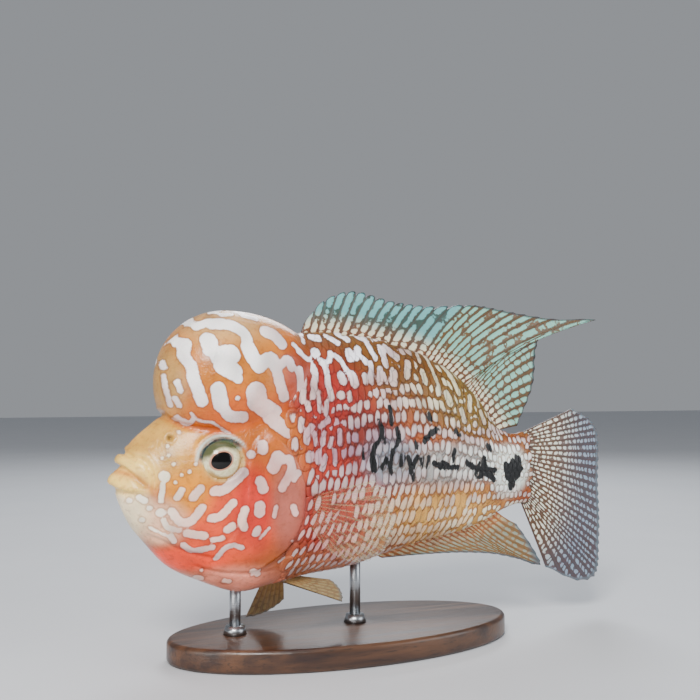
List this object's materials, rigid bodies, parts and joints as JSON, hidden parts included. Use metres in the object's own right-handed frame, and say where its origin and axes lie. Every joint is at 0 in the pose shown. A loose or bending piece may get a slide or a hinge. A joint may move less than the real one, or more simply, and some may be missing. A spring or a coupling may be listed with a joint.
{
  "type": "flowerhorn cichlid model",
  "caption": "Life-size flowerhorn cichlid display model with a tall nuchal hump, long dorsal fin and pearl-spotted flanks, held on a low oval stand by steel rods.",
  "frame": {"origin": "centre of the stand base's underside, on the floor plane", "axes": "fish heads towards -X, its back is +Z, its left side faces -Y; the tail bends slightly towards +Y"},
  "size_m": [0.2094, 0.0774, 0.1317],
  "materials": {
    "skin": "glossy, red-orange ground under pearl spots",
    "hump": "glossy, tan orange with white wavy patches",
    "lip": "glossy, pale yellow",
    "cheek": "glossy, red-orange with white spots",
    "eye": "high gloss, pale yellow iris and black pupil",
    "flank_rear": "glossy, silver and yellow-orange with black blots",
    "fin": "glossy, turquoise spots on brown, bluish edge",
    "fin_warm": "glossy, orange with white spots and grey edge",
    "fin_clear": "glossy, pale olive, thin",
    "stand_wood": "dark stained, satin varnish",
    "stand_metal": "satin"
  },
  "bodies": {
    "root": {"head": "skin", "nuchal_hump": "hump", "upper_lip": "lip", "lower_jaw": "lip", "gill_cover_left": "cheek", "gill_cover_right": "cheek", "eye_left": "eye", "eye_right": "eye", "trunk": "skin", "tail_stem": "flank_rear", "dorsal_fin": "fin", "anal_fin": "fin_warm", "caudal_fin": "fin", "pectoral_fin_left": "fin_clear", "pectoral_fin_right": "fin_clear", "pelvic_fin_left": "fin_clear", "pelvic_fin_right": "fin_clear", "stand_base": "stand_wood", "stand_rod_front": "stand_metal", "stand_rod_rear": "stand_metal"}
  },
  "joints": []
}
